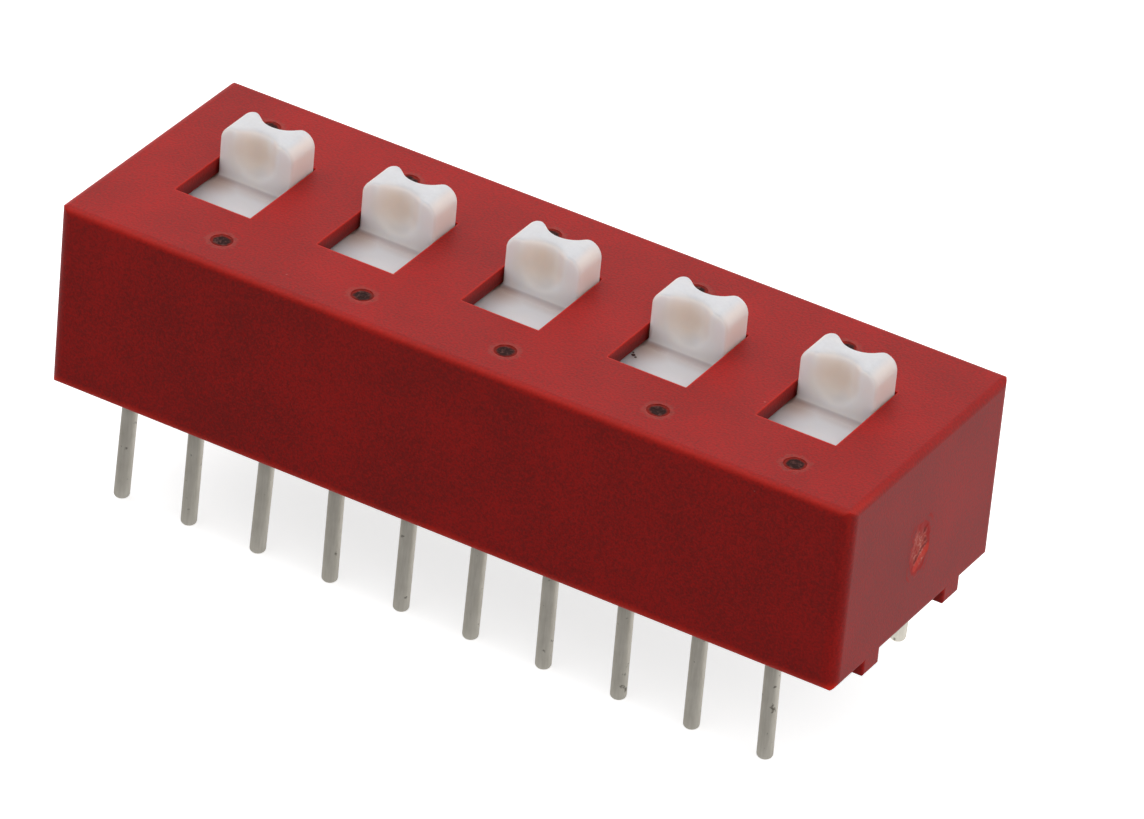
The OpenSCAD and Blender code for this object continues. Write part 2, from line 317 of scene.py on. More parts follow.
# Red thermoset polyester, compression moulded in a spark eroded mould: dull and finely mottled,
# with painted glow on its thin edges and lower rim, redder and brighter than the faces
redPolyester = {
    "colour": "#AC100A",
    "deep": "#860C07",     # the darker of its two tones
    "edge": "#CB220F",     # painted glow, where light would come through at an edge
    "rim": "#F22C12",      # painted bounce light on the thin lower rim
    "speck": "#D98A80",    # filler just under the skin
    "foot": "#5E0A07",     # painted shade at the foot of the window walls
    "bleed": "#8E4A42",    # ring round a dot where the ink bled
    "stain": "#4A140E",    # and the case under the ink
    "grain": 0.08,         # mm between the bumps of the mould finish
    "cloud": 2.6,          # mm across the slow changes of tone
    "speckApart": 0.62,    # mm between places where a speck may be
    "speckSize": (0.085, 0.045),  # share of that distance, where a speck starts and where it is full
    "speckRare": 0.965,    # nearer to 1 gives fewer specks
    "edgeBand": 0.24,      # mm, how far in the rounded outer edges glow
    "edgeReach": 0.13,     # mm, the same for the edges of windows and feet
    "windowsReach": 2.4,   # mm across the case from its middle, past the ends of the windows
    "inkCore": 0.34,       # mm, radius of the dark dots
    "inkRing": 0.52,       # mm, radius of the ring
    "sink": 0.4,           # mm that light sinks in
    "roughness": 0.5,
    "gloss": 0.26,
}

caseCorners = corners("housing")
caseLow, caseHigh = caseCorners.min(0), caseCorners.max(0)
caseTop = caseHigh[2]
# The long sides end below the top and above the lower rim by the same rounding, and that gives the rim.
sideCorners = caseCorners[np.abs(caseCorners[:, 1]) > caseHigh[1] - 0.001]
caseRim = sideCorners[:, 2].min() + sideCorners[:, 2].max() - caseTop
# middles of the ten dark dots, from the corners at the floor of each pit
inShallow = (caseCorners[:, 2] < caseTop - 0.05) & (caseCorners[:, 2] > caseTop - 0.3)
inMiddle = np.all(np.abs(caseCorners[:, :2]) < caseHigh[:2] - 0.4, axis=1)
pitFloor = caseCorners[inShallow & inMiddle]
pitLevel = np.median(pitFloor[:, 2])
pitFloor = pitFloor[np.abs(pitFloor[:, 2] - pitLevel) < 0.01]
pits = []
for point in pitFloor:
    for pit in pits:
        if np.hypot(*(pit["all"][0][:2] - point[:2])) < 1.0:
            pit["all"].append(point)
            break
    else:
        pits.append({"all": [point]})
for pit in pits:
    spread = np.array(pit["all"])
    pit["middle"] = (spread.min(0) + spread.max(0))[:2] / 2
    pit["radius"] = np.ptp(spread[:, 0]) / 2
pits.sort(key=lambda pit: (pit["middle"][1] > 0, pit["middle"][0]))
print("dots found:", len(pits))


def speckled(mat, place, colour):
    # light filler specks, sparse and small
    cells = addNode(mat, "ShaderNodeTexVoronoi", {}, {"Vector": place, "Scale": perMm(redPolyester["speckApart"])})
    fleck = ramp(mat, cells.outputs["Distance"], redPolyester["speckSize"])
    chosen = addNode(mat, "ShaderNodeSeparateColor", {}, {0: cells.outputs["Color"]})
    rare = reckon(mat, "GREATER_THAN", chosen.outputs[0], redPolyester["speckRare"])
    return blended(mat, product(mat, fleck, rare, 0.4), colour, redPolyester["speck"])


def nearTwoFaces(mat, split):
    # the second smallest of the distances to the outer faces, which is small along an edge of the case
    inward = []
    boxLow = (caseLow[0], caseLow[1], caseRim)
    for axis in range(3):
        far = reckon(mat, "SUBTRACT", split[axis], (boxLow[axis] + caseHigh[axis]) / 2 * mm)
        far = reckon(mat, "ABSOLUTE", far)
        inward.append(reckon(mat, "SUBTRACT", (caseHigh[axis] - boxLow[axis]) / 2 * mm, far))
    inward[2] = reckon(mat, "ABSOLUTE", inward[2])
    lesser = reckon(mat, "MINIMUM", inward[0], inward[1])
    greater = reckon(mat, "MAXIMUM", inward[0], inward[1])
    return reckon(mat, "MAXIMUM", lesser, reckon(mat, "MINIMUM", greater, inward[2]))


def glowPaintedOnEdges(mat, split, cloud, colour):
    # painted glow on small edges: colour laid where a wide rounding of the shape turns away from the face itself
    wide = addNode(mat, "ShaderNodeBevel", {"samples": 6}, {"Radius": redPolyester["edgeReach"] * mm})
    face = addNode(mat, "ShaderNodeNewGeometry").outputs["True Normal"]
    turn = addNode(mat, "ShaderNodeVectorMath", {"operation": "DOT_PRODUCT"}, {0: wide.outputs[0], 1: face})
    thin = ramp(mat, turn.outputs["Value"], (0.998, 0.86), (0.0, 0.85))
    above = reckon(mat, "GREATER_THAN", split[2], (caseRim - 0.02) * mm)
    # painted glow on the rounded outer edges, weaker lower down and towards the back
    band = (redPolyester["edgeBand"] * mm, 0.06 * mm)
    rounded = ramp(mat, nearTwoFaces(mat, split), band, (0.0, 0.5), smooth=True)
    high = ramp(mat, split[2], ((caseTop - 1) * mm, (caseTop - 0.35) * mm), (0.3, 1.0), smooth=True)
    frontWeighted = ramp(mat, split[1], ((caseLow[1] + 0.4) * mm, (caseLow[1] + 3) * mm), (1.0, 0.25), smooth=True)
    rounded = product(mat, rounded, above, high, frontWeighted)
    thin = reckon(mat, "MAXIMUM", product(mat, thin, above), rounded)
    colour = blended(mat, thin, colour, redPolyester["edge"])
    # painted bounce light: the lower rim of the long sides is painted bright red, unevenly
    uneven = reckon(mat, "MULTIPLY_ADD", cloud, -0.16 * mm, split[2])
    lower = ramp(mat, uneven, ((caseRim + 0.3) * mm, (caseRim - 0.06) * mm), (0.0, 0.9), smooth=True)
    longSide = reckon(mat, "GREATER_THAN", reckon(mat, "ABSOLUTE", split[1]), (caseHigh[1] - 0.35) * mm)
    return blended(mat, product(mat, lower, above, longSide), colour, redPolyester["rim"])


def shadePaintedAtWindowFeet(mat, split, colour):
    # painted shade: the window walls are painted darker towards their foot
    foot = ramp(mat, split[2], ((caseTop - 0.08) * mm, (caseTop - 0.42) * mm), (0.0, 0.75), smooth=True)
    inner = reckon(mat, "LESS_THAN", reckon(mat, "ABSOLUTE", split[1]), redPolyester["windowsReach"] * mm)
    within = reckon(mat, "LESS_THAN", reckon(mat, "ABSOLUTE", split[0]), (caseHigh[0] - 0.6) * mm)
    return blended(mat, product(mat, foot, inner, within), colour, redPolyester["foot"])


def inkStained(mat, place, split, colour):
    # dots of dark ink, a little out of round, with a faint dull ring where it bled
    near = toNearest(mat, flatPoint(mat, split[0], split[1]), [(*pit["middle"], 0) for pit in pits])
    ragged = noiseTone(mat, place, 0.17, 3.0)
    shift = reckon(mat, "MULTIPLY_ADD", ragged, 0.36 * mm, near)
    coreReach, ringReach = redPolyester["inkCore"], redPolyester["inkRing"]
    core = ramp(mat, shift, ((coreReach + 0.28) * mm, (coreReach + 0.14) * mm), (0.0, 0.5), smooth=True)
    ring = ramp(mat, shift, ((ringReach + 0.22) * mm, (ringReach + 0.08) * mm), (0.0, 0.3), smooth=True)
    top = reckon(mat, "GREATER_THAN", split[2], (caseTop - 0.3) * mm)
    colour = blended(mat, product(mat, ring, top), colour, redPolyester["bleed"])
    return blended(mat, product(mat, core, top), colour, redPolyester["stain"])


def redPolyesterMat():
    mat, place = newMaterial("mouldedRedPolyester")
    split = axesOf(mat, place)
    grain = noiseTone(mat, place, redPolyester["grain"], 2.0, 0.6)
    cloud = noiseTone(mat, place, redPolyester["cloud"], 3.0, 0.55)
    tone = ramp(mat, mixedTone(mat, 0.3, grain, cloud), (0.38, 0.62))
    colour = blended(mat, tone, redPolyester["deep"], redPolyester["colour"])
    colour = speckled(mat, place, colour)
    colour = glowPaintedOnEdges(mat, split, cloud, colour)
    colour = shadePaintedAtWindowFeet(mat, split, colour)
    colour = inkStained(mat, place, split, colour)
    rough = ramp(mat, grain, (0.0, 1.0), (redPolyester["roughness"] - 0.08, redPolyester["roughness"] + 0.08))
    return finished(mat, colour, {"Roughness": rough, "IOR": 1.5, "Specular IOR Level": redPolyester["gloss"],
        "Subsurface Weight": 0.3, "Subsurface Radius": (1.0, 0.08, 0.05),
        "Subsurface Scale": redPolyester["sink"] * mm}, (grain, 0.012, 0.6), rounding=0.05)


redCase = redPolyesterMat()
dress("housing", redCase)


# Black stamping ink dried in the pits, nearly level with the face: dull, lumpy, thin and brown at the rim
dotInk = {
    "colour": "#2E1614",
    "pale": "#6A443F",     # dust caught in it
    "rim": "#8A2018",      # where it is thin and the red shows through
    "below": 0.012,        # mm, how far it lies below the face
    "lumps": 0.02,         # mm
    "reach": 0.985,        # share of the pit's radius that it fills
    "roughness": 0.7,
}


def driedInkMat():
    mat, place = newMaterial("driedBlackInk")
    lumps = noiseTone(mat, place, 0.12, 3.0)
    dust = ramp(mat, lumps, (0.5, 0.7), (0.0, 0.8))
    colour = blended(mat, dust, dotInk["colour"], dotInk["pale"])
    split = axesOf(mat, place)
    flat = flatPoint(mat, split[0], split[1])
    near = toNearest(mat, flat, [(*pit["middle"], 0) for pit in pits])
    ragged = noiseTone(mat, place, 0.2, 3.0)
    near = reckon(mat, "MULTIPLY_ADD", ragged, 0.22 * mm, near)
    radius = pits[0]["radius"]
    rim = ramp(mat, near, ((radius - 0.03) * mm, (radius + 0.1) * mm), smooth=True)
    colour = blended(mat, rim, colour, dotInk["rim"])
    return finished(mat, colour, {"Roughness": dotInk["roughness"], "IOR": 1.5, "Specular IOR Level": 0.12},
        (lumps, 0.03, 0.8))


blackInk = driedInkMat()
inkLevel = caseTop - dotInk["below"]
for number, pit in enumerate(pits):
    bm = bmesh.new()
    rings, around = 7, 30
    middle = bm.verts.new((*(pit["middle"] * mm), inkLevel * mm))
    last = None
    for r in range(1, rings + 1):
        row = []
        for a in range(around):
            angle = math.tau * a / around
            reach = pit["radius"] * dotInk["reach"] * r / rings
            x, y = pit["middle"][0] + reach * math.cos(angle), pit["middle"][1] + reach * math.sin(angle)
            lump = min(dotInk["lumps"] * wander((x, y, 0), 0.16, 5.0), 0.008) - (0.008 if r == rings else 0)
            row.append(bm.verts.new((x * mm, y * mm, (inkLevel + lump) * mm)))
        for a in range(around):
            b = (a + 1) % around
            bm.faces.new((middle, row[a], row[b]) if last is None else (last[a], row[a], row[b], last[b]))
        last = row
    bmesh.ops.reverse_faces(bm, faces=[f for f in bm.faces if f.normal.z < 0])
    makePiece(f"dotInk_{number + 1}", bm, [blackInk], "case", 80)
print("dots inked")


# Where the moulding was broken from its runner: chalky where it tore, with one long split and a few pits
gateScar = {
    "chalk": "#C05A4C",    # torn surface, paler than the moulded face
    "pale": "#E2A294",     # painted highlight on its crests
    "fresh": "#D8301A",    # clean break beside the split
    "split": "#7A0F0A",    # painted shade in the depth of the split and the pits
    "splitLine": ((0.44, 0.0), (0.1, -0.17), (-0.22, -0.4)),   # mm from the middle of the scar, along Y and up
    # along Y, up, and radius in mm
    "pitsAt": ((0.24, 0.5, 0.09), (-0.1, 0.52, 0.06), (-0.33, 0.74, 0.05), (-0.52, 0.34, 0.08), (0.34, 0.12, 0.08)),
    "lip": 0.006,          # mm, how far the torn rim stands out of the face
    "step": 0.035,         # mm between points of the torn surface
}


def tornPolyesterMat(middleY, middleZ, halfY, halfZ):
    mat, place = newMaterial("tornRedPolyester")
    crumbs = noiseTone(mat, place, 0.13, 4.0, 0.7)
    patches = noiseTone(mat, place, 0.5, 2.0)
    split = axesOf(mat, place)
    y = reckon(mat, "SUBTRACT", split[1], middleY * mm)
    z = reckon(mat, "SUBTRACT", split[2], middleZ * mm)
    flat = flatPoint(mat, y, z)

    # chalky, fading out unevenly towards the rim
    squat = flatPoint(mat, reckon(mat, "DIVIDE", y, halfY * mm), reckon(mat, "DIVIDE", z, halfZ * mm))
    out = addNode(mat, "ShaderNodeVectorMath", {"operation": "LENGTH"}, {0: squat})
    out = reckon(mat, "MULTIPLY_ADD", patches, 0.9, out.outputs["Value"])
    torn = ramp(mat, out, (1.4, 0.95), smooth=True)
    tone = ramp(mat, crumbs, (0.3, 0.62))
    colour = blended(mat, tone, redPolyester["colour"], gateScar["chalk"])
    # painted highlight: the crests of the torn surface are painted paler
    crestHighlight = ramp(mat, crumbs, (0.54, 0.7), (0.0, 0.85))
    colour = blended(mat, crestHighlight, colour, gateScar["pale"])
    colour = blended(mat, torn, redPolyester["colour"], colour)

    # the split, painted dark as its shade, and the clean break below it
    line = gateScar["splitLine"]
    along = [[a + (b - a) * t for a, b in zip(start, end)]
             for start, end in zip(line, line[1:]) for t in (0.0, 0.25, 0.5, 0.75, 1.0)]
    toSplit = toNearest(mat, flat, [(*at, 0) for at in along])
    toFresh = toNearest(mat, flat, [(at[0] + 0.07, at[1] - 0.24, 0) for at in along])
    ragged = product(mat, crumbs, 0.14 * mm)
    toFresh = reckon(mat, "ADD", toFresh, ragged)
    toSplit = reckon(mat, "ADD", toSplit, ragged)
    fresh = ramp(mat, toFresh, (0.27 * mm, 0.16 * mm), (0.0, 0.8), smooth=True)
    colour = blended(mat, fresh, colour, gateScar["fresh"])
    dark = ramp(mat, toSplit, (0.15 * mm, 0.1 * mm), (0.0, 0.85), smooth=True)
    for pitY, pitZ, size in gateScar["pitsAt"]:
        near = reckon(mat, "ADD", toNearest(mat, flat, [(pitY, pitZ, 0)]), ragged)
        hole = ramp(mat, near, ((size + 0.09) * mm, (size + 0.03) * mm), (0.0, 0.8), smooth=True)
        dark = reckon(mat, "MAXIMUM", dark, hole)
    colour = blended(mat, dark, colour, gateScar["split"])
    return finished(mat, colour, {"Roughness": 0.6, "IOR": 1.5, "Specular IOR Level": 0.27,
        "Subsurface Weight": 0.2, "Subsurface Radius": (1.0, 0.15, 0.1), "Subsurface Scale": 0.25 * mm},
        (crumbs, 0.02, 0.6))


endX = caseCorners[:, 0].max()
justInside = (caseCorners[:, 0] < endX - 0.06) & (caseCorners[:, 0] > endX - 0.3)
midHeight = (caseCorners[:, 2] > 1.2) & (caseCorners[:, 2] < caseTop - 0.6)
recess = caseCorners[justInside & midHeight & (np.abs(caseCorners[:, 1]) < 2)]
scarFloor = np.median(recess[:, 0])
recess = recess[np.abs(recess[:, 0] - scarFloor) < 0.01]
scarLow, scarHigh = recess.min(0), recess.max(0)
scarMiddle, scarHalf = (scarLow + scarHigh) / 2, (scarHigh - scarLow) / 2
bm = bmesh.new()
# points of the torn surface, by their place in the grid
grid = {}
step = gateScar["step"]
across, upward = int(scarHalf[1] * 1.1 / step), int(scarHalf[2] * 1.06 / step)
for j in range(-across, across + 1):
    for k in range(-upward, upward + 1):
        y, z = j * step, k * step
        out = math.hypot(y / scarHalf[1], z / scarHalf[2])
        out += 0.13 * wander((y, z, 0), 0.5, 3.0) + 0.05 * wander((y, z, 0), 0.15, 9.0)
        if out > 1.32:
            continue
        inside = min(max((1.0 - out) / 0.6, 0.0), 1.0)
        ridges = 1 - abs(wander((y, z * 0.8, 0), 0.42, 7.0)) * 2.2
        fine = wander((y, z, 0), 0.12, 1.0)
        torn = endX - 0.05 + 0.035 * max(ridges, -0.2) + 0.015 * fine
        rim = gateScar["lip"] * math.exp(-((out - 0.9) / 0.09) ** 2) * (0.7 + 0.6 * wander((y, z, 0), 0.3, 4.0))
        x = endX + 0.002 + (torn - endX) * inside + max(rim, 0)
        grid[j, k] = bm.verts.new((x * mm, (scarMiddle[1] + y) * mm, (scarMiddle[2] + z) * mm))
for j, k in list(grid):
    square = [grid.get(key) for key in ((j, k), (j + 1, k), (j + 1, k + 1), (j, k + 1))]
    if all(square):
        face = bm.faces.new(square)
        # level squares at the rim keep the moulded skin
        depths = [v.co.x for v in square]
        face.material_index = int(min(depths) > (endX + 0.002) * mm and max(depths) < (endX + 0.0045) * mm)
bmesh.ops.delete(bm, geom=[v for v in bm.verts if not v.link_faces], context="VERTS")
torn = tornPolyesterMat(*scarMiddle[1:], *scarHalf[1:])
scar = makePiece("gateScar", bm, [torn, redCase], "case", 80)
if scar.data.polygons[0].normal.x < 0:
    scar.data.flip_normals()
print("gate scar torn")


# Moulded white acetal: milky and a little waxy, so light sinks in and blurs every edge
whiteAcetal = {
    "colour": "#DADBDE",   # faces that look up, painted greyer as shade
    "warm": "#D4D4D7",     # the darker of their two tones
    "body": "#FFFAF7",     # front and back of the tooth, painted lighter than the top
    "redBounceTint": "#EFE4DE",   # its left and right sides, painted with the red light bounced from the windows
    "cup": "#F3E9E0",      # painted shade, creamier in the hollow of the cup
    "plate": "#E8E6E8",
    "paintedCornerShade": "#C8AFA4",    # painted shade in the corner between plate and tooth
    "creamLeft": 0.25,     # mm, how far left of the cup's middle the cream patch lies
    "creamReach": (1.05, 0.35),   # mm from its middle, where it starts and where it is full
    "grain": 0.12,         # mm
    "cloud": 0.9,
    "sink": 0.9,           # mm that light sinks in
    "roughness": 0.42,
}

# mm; the tooth that the mould gives is rounder than its drawing, and its cup shallower
softTooth = {
    "wider": 0.003,        # on each side
    "longer": 0.018,
    "taller": 0.005,
    "shoulder": 0.49,      # radius of the left and right top edges
    "edge": 0.12,          # rounding of the front and back edges
    "cupRadius": 0.78,
    "cupDeep": 0.385,
    "cupLip": 0.42,        # height of the cup's lower edge over the plate
    "cupRim": 0.22,        # rounding of the cup's rim
    "foot": 0.15,          # fillet to the plate
    "step": 0.05,          # grid that the skin is made on
}


def blendMax(a, b, reach):
    # the larger of two distances, rounded where they differ by less than reach
    near = np.maximum(reach - np.abs(a - b), 0) / reach
    return np.maximum(a, b) + near * near * reach / 4


def toothField(size):
    # distance in mm to the tooth and the top of its plate, less than 0 inside them
    shape = softTooth

    def field(x, y, z):
        sideways = np.abs(x) - (size["halfX"] - shape["shoulder"])
        upward = z - (size["top"] - shape["shoulder"])
        section = np.hypot(np.maximum(sideways, 0), np.maximum(upward, 0)) - shape["shoulder"]
        section = section + np.minimum(np.maximum(sideways, upward), 0)
        block = blendMax(section, np.abs(y) - size["halfY"], shape["edge"])
        toCup = x * x + (np.abs(y) - size["cupY"]) ** 2 + np.minimum(z - size["cupZ"], 0) ** 2
        block = blendMax(block, shape["cupRadius"] - np.sqrt(toCup), shape["cupRim"])
        both = -blendMax(-block, size["plateTop"] + 0.002 - z, shape["foot"])
        # nothing of it but the tooth and a thin patch of plate round its foot
        patch = np.maximum(np.abs(x) - size["halfX"] - 0.03, np.abs(y) - size["halfY"] - 0.3)
        return np.maximum(both, np.maximum(patch, size["plateTop"] - 0.1 - z))
    return field


def skinOf(field, low, high, step):
    # surface net: one point in each grid cell that the surface crosses, pulled onto the surface
    axes = [np.arange(a, b + step, step) for a, b in zip(low, high)]
    inside = field(*np.meshgrid(*axes, indexing="ij")) < 0
    cells = [count - 1 for count in inside.shape]
    filled = sum(inside[i:i + cells[0], j:j + cells[1], k:k + cells[2]].astype(int)
                 for i in (0, 1) for j in (0, 1) for k in (0, 1))
    crossed = (filled > 0) & (filled < 8)
    index = np.full(cells, -1)
    index[crossed] = np.arange(crossed.sum())
    middle = np.array(low) + (np.argwhere(crossed) + 0.5) * step
    points = middle.copy()
    nudge = np.eye(3) * step * 0.05
    for _ in range(4):
        value = field(*points.T)
        slope = np.stack([(field(*(points + d).T) - field(*(points - d).T)) / (step * 0.1) for d in nudge], 1)
        points -= value[:, None] * slope / np.maximum((slope * slope).sum(1), 0.05)[:, None]
        points = np.clip(points, middle - step, middle + step)
    squares = []
    for a in range(3):
        b, c = [axis for axis in range(3) if axis != a]
        lower, upper = [slice(None)] * 3, [slice(None)] * 3
        lower[a], upper[a] = slice(0, -1), slice(1, None)
        at = np.argwhere(inside[tuple(lower)] != inside[tuple(upper)])
        at = at[(at[:, b] > 0) & (at[:, c] > 0) & (at[:, b] < inside.shape[b] - 1) & (at[:, c] < inside.shape[c] - 1)]
        square = []
        for db, dc in ((-1, -1), (0, -1), (0, 0), (-1, 0)):
            cell = at.copy()
            cell[:, b] += db
            cell[:, c] += dc
            square.append(index[tuple(cell.T)])
        squares.append(np.stack(square, 1))
    return points, np.concatenate(squares)


def whiteAcetalMat(pitch, cupZ, toothY):
    mat, place = newMaterial("mouldedWhiteAcetal")
    grain = noiseTone(mat, place, whiteAcetal["grain"], 3.0)
    cloud = noiseTone(mat, place, whiteAcetal["cloud"], 3.0)
    tone = ramp(mat, mixedTone(mat, 0.5, grain, cloud), (0.35, 0.65))
    colour = blended(mat, tone, whiteAcetal["warm"], whiteAcetal["colour"])
    # painted light and shade by the way a face looks: the faces that look up are painted greyer, and the sides of the
    # tooth lighter and warmer
    split = axesOf(mat, place)
    facing = axesOf(mat, addNode(mat, "ShaderNodeTexCoord").outputs["Normal"])
    side = ramp(mat, facing[2], (0.85, 0.25), smooth=True)
    colour = blended(mat, side, colour, whiteAcetal["body"])
    # painted bounce light: the left and right sides are tinted with the red light bounced from the windows
    redBounceTint = ramp(mat, reckon(mat, "ABSOLUTE", facing[0]), (0.25, 0.85), smooth=True)
    colour = blended(mat, redBounceTint, colour, whiteAcetal["redBounceTint"])
    # the plate keeps a tone of its own in place of the greyer shade painted on the upward faces
    plateArea = ramp(mat, split[2], ((plateTop + 0.12) * mm, plateTop * mm), smooth=True)
    colour = blended(mat, plateArea, colour, whiteAcetal["plate"])
    # painted shade in the corner at the left of the tooth's foot, and thinner along the foot
    x = reckon(mat, "WRAP", split[0], -pitch / 2 * mm, pitch / 2 * mm)
    corner = toNearest(mat, flatPoint(mat, x, split[1]), [(-1.25, toothY - 0.8, 0)])
    corner = ramp(mat, corner, (1.3 * mm, 0.1 * mm), smooth=True)
    along = ramp(mat, split[1], ((toothY - 1.35) * mm, (toothY - 0.8) * mm), (0.0, 0.45), smooth=True)
    paintedCornerShade = product(mat, reckon(mat, "MAXIMUM", corner, along), plateArea)
    colour = blended(mat, paintedCornerShade, colour, whiteAcetal["paintedCornerShade"])
    # painted shade: a cream patch in the hollow of each cup, to the left of its middle
    x = reckon(mat, "ADD", x, whiteAcetal["creamLeft"] * mm)
    z = reckon(mat, "SUBTRACT", split[2], (cupZ - 0.02) * mm)
    y = reckon(mat, "ABSOLUTE", reckon(mat, "SUBTRACT", split[1], toothY * mm))
    away = addNode(mat, "ShaderNodeVectorMath", {"operation": "LENGTH"}, {0: flatPoint(mat, x, z)})
    away = reckon(mat, "MULTIPLY_ADD", cloud, 0.2 * mm, away.outputs["Value"])
    farthest, nearest = whiteAcetal["creamReach"]
    cupShadePatch = ramp(mat, away, (farthest * mm, nearest * mm), smooth=True)
    outer = ramp(mat, y, (0.2 * mm, 0.3 * mm), smooth=True)
    colour = blended(mat, product(mat, cupShadePatch, outer), colour, whiteAcetal["cup"])
    return finished(mat, colour, {"Roughness": whiteAcetal["roughness"], "IOR": 1.48, "Specular IOR Level": 0.4,
        "Subsurface Weight": 0.9, "Subsurface Radius": (1.0, 0.92, 0.84), "Subsurface Scale": whiteAcetal["sink"] * mm},
        (grain, 0.006, 0.6), rounding=0.1)


def joined(first, second, name):
    # one closed skin from two overlapping ones
    objects = []
    for bm in (first, second):
        bmesh.ops.recalc_face_normals(bm, faces=bm.faces)
        mesh = bpy.data.meshes.new(name)
        bm.to_mesh(mesh)
        bm.free()
        part = bpy.data.objects.new(name, mesh)
        bpy.context.scene.collection.objects.link(part)
        objects.append(part)
    union = objects[0].modifiers.new("union", "BOOLEAN")
    union.operation, union.solver, union.object = "UNION", "MANIFOLD", objects[1]
    bpy.context.view_layer.update()
    result = bmesh.new()
    result.from_object(objects[0], bpy.context.evaluated_depsgraph_get())
    for part in objects:
        mesh = part.data
        bpy.data.objects.remove(part)
        bpy.data.meshes.remove(mesh)
    return result


points = corners("slide_1")
low, high = points.min(0), points.max(0)
plateTop = points[points[:, 0] < low[0] + 0.01][:, 2].max()
tooth = points[points[:, 2] > plateTop + 0.3]
middle, half = (tooth.min(0) + tooth.max(0)) / 2, np.ptp(tooth, axis=0) / 2
pitch = (corners("slide_2").mean(0) - points.mean(0))[0]
cupOut = softTooth["cupRadius"] - softTooth["cupDeep"]
size = {
    "plateTop": plateTop,
    "top": high[2] + softTooth["taller"],
    "halfX": half[0] + softTooth["wider"],
    "halfY": half[1] + softTooth["longer"],
    # middle of the ball that hollows the cup
    "cupY": half[1] + softTooth["longer"] + cupOut,
    "cupZ": plateTop + softTooth["cupLip"] + math.sqrt(softTooth["cupRadius"] ** 2 - cupOut ** 2),
}
reach = (size["halfX"] + 0.2, size["halfY"] + 0.5)
boxLow, boxHigh = (-reach[0], -reach[1], plateTop - 0.2), (*reach, size["top"] + 0.15)
skin, squares = skinOf(toothField(size), boxLow, boxHigh, softTooth["step"])
softPart = bmesh.new()
made = [softPart.verts.new(((x + middle[0]) * mm, (y + middle[1]) * mm, z * mm)) for x, y, z in skin]
for square in squares:
    softPart.faces.new([made[i] for i in square])
moulded = joined(cutCopy("slide_1", plateTop + 0.001, True), softPart, "moulding")
whiteSlide = whiteAcetalMat(pitch, size["cupZ"], middle[1])
for n in range(1, stations + 1):
    bm = moulded.copy()
    bmesh.ops.translate(bm, verts=bm.verts, vec=((n - 1) * pitch * mm, 0, 0))
    piece = makePiece(f"softSlide_{n}", bm, [whiteSlide], f"slider_{n}", 42)
    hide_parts(f"slide_{n}")
moulded.free()
print("slides moulded")


# A pressed crumb of dark dirt lies on the plate of slide 4, by the left wall of its window.
# It is thinner than the gap between plate and case, so the slide carries it under the case.
dirtCrumb = {
    "slide": 4,
    "fromLeft": 0.1,       # mm from the left wall and from the front wall of the window
    "fromFront": 1.43,
    "radius": 0.07,
    "thick": 0.03,
    "colour": "#2A1614",
    "pale": "#5A3A34",
}


def dirtMat():
    mat, place = newMaterial("dryWorkshopDirt")
    crumbs = noiseTone(mat, place, 0.07, 3.0)
    colour = blended(mat, crumbs, dirtCrumb["colour"], dirtCrumb["pale"])
    return finished(mat, colour, {"Roughness": 0.85, "IOR": 1.45})


windowEdge = caseCorners[(caseCorners[:, 2] > caseTop - 0.05) & (np.abs(caseCorners[:, 1]) < 2.5)]
windowLeft = windowEdge[np.abs(windowEdge[:, 0]) < pitch / 2][:, 0].min()
crumbX = (dirtCrumb["slide"] - (stations + 1) / 2) * pitch + windowLeft + dirtCrumb["fromLeft"]
crumbY = windowEdge[:, 1].min() + dirtCrumb["fromFront"]
bm = bmesh.new()
for dx, dy, r in ((0, 0, 1.0), (0.12, -0.07, 0.6), (-0.07, 0.12, 0.5)):
    blob = bmesh.ops.create_icosphere(bm, subdivisions=3, radius=dirtCrumb["radius"] * r)["verts"]
    for vert in blob:
        vert.co *= 1 + 0.35 * wander(vert.co, 0.08, 8.0 + dx)
        height = min(max(0.35 + vert.co.z / dirtCrumb["radius"] * 0.5, 0), 1) * dirtCrumb["thick"]
        vert.co = Vector((vert.co.x + crumbX + dx, vert.co.y + crumbY + dy, plateTop + height)) * mm
makePiece("dirtCrumb", bm, [dirtMat()], f"slider_{dirtCrumb['slide']}", 60)


# Dull tin plate on drawn brass: warm grey, faint draw lines down the leg and a few dark handling marks
tinPlate = {"colour": "#D2CCC0", "pale": "#EAE5DA", "dark": "#6F685C", "roughness": 0.5}

# The legs are bent a little by handling, in mm. The back row has the front row's bends in reverse order.
legBend = {
    # along the row, for each front leg: at the bend, and then more at the tip
    "along": (0.13, -0.01, -0.01, -0.05, -0.02, -0.09, -0.13, -0.06, -0.05, -0.1),
    "tipLean": (-0.11, -0.05, -0.09, 0.0, -0.02, -0.03, 0.04, 0.04, 0.02, 0.05),
    "outwardTop": 0.13,    # away from the case, at the bend and at the tip
    "outwardTip": 0.16,
    "over": 0.42,          # length of the leg that the bend takes
    "highest": 0.45,       # where it may begin
    "roundTip": 0.13,      # rounding of the lower end
    "around": 28,          # corners of a ring
}


def tinPlateMat():
    mat, place = newMaterial("dullTinPlate")
    stretched = addNode(mat, "ShaderNodeMapping", {}, {"Vector": place, "Scale": (1.0, 1.0, 0.12)})
    lines = noiseTone(mat, stretched.outputs[0], 0.07, 2.0)
    cloud = noiseTone(mat, place, 0.8, 3.0, 0.55)
    tone = ramp(mat, mixedTone(mat, 0.5, lines, cloud), (0.3, 0.7))
    colour = blended(mat, tone, tinPlate["colour"], tinPlate["pale"])
    spots = noiseTone(mat, place, 0.3, 3.0)
    dirt = ramp(mat, spots, (0.66, 0.73), (0.0, 0.8))
    colour = blended(mat, dirt, colour, tinPlate["dark"])
    rough = ramp(mat, lines, (0.0, 1.0), (tinPlate["roughness"] - 0.05, tinPlate["roughness"] + 0.05))
    return finished(mat, colour, {"Metallic": 1.0, "Roughness": rough}, (lines, 0.003, 0.5))


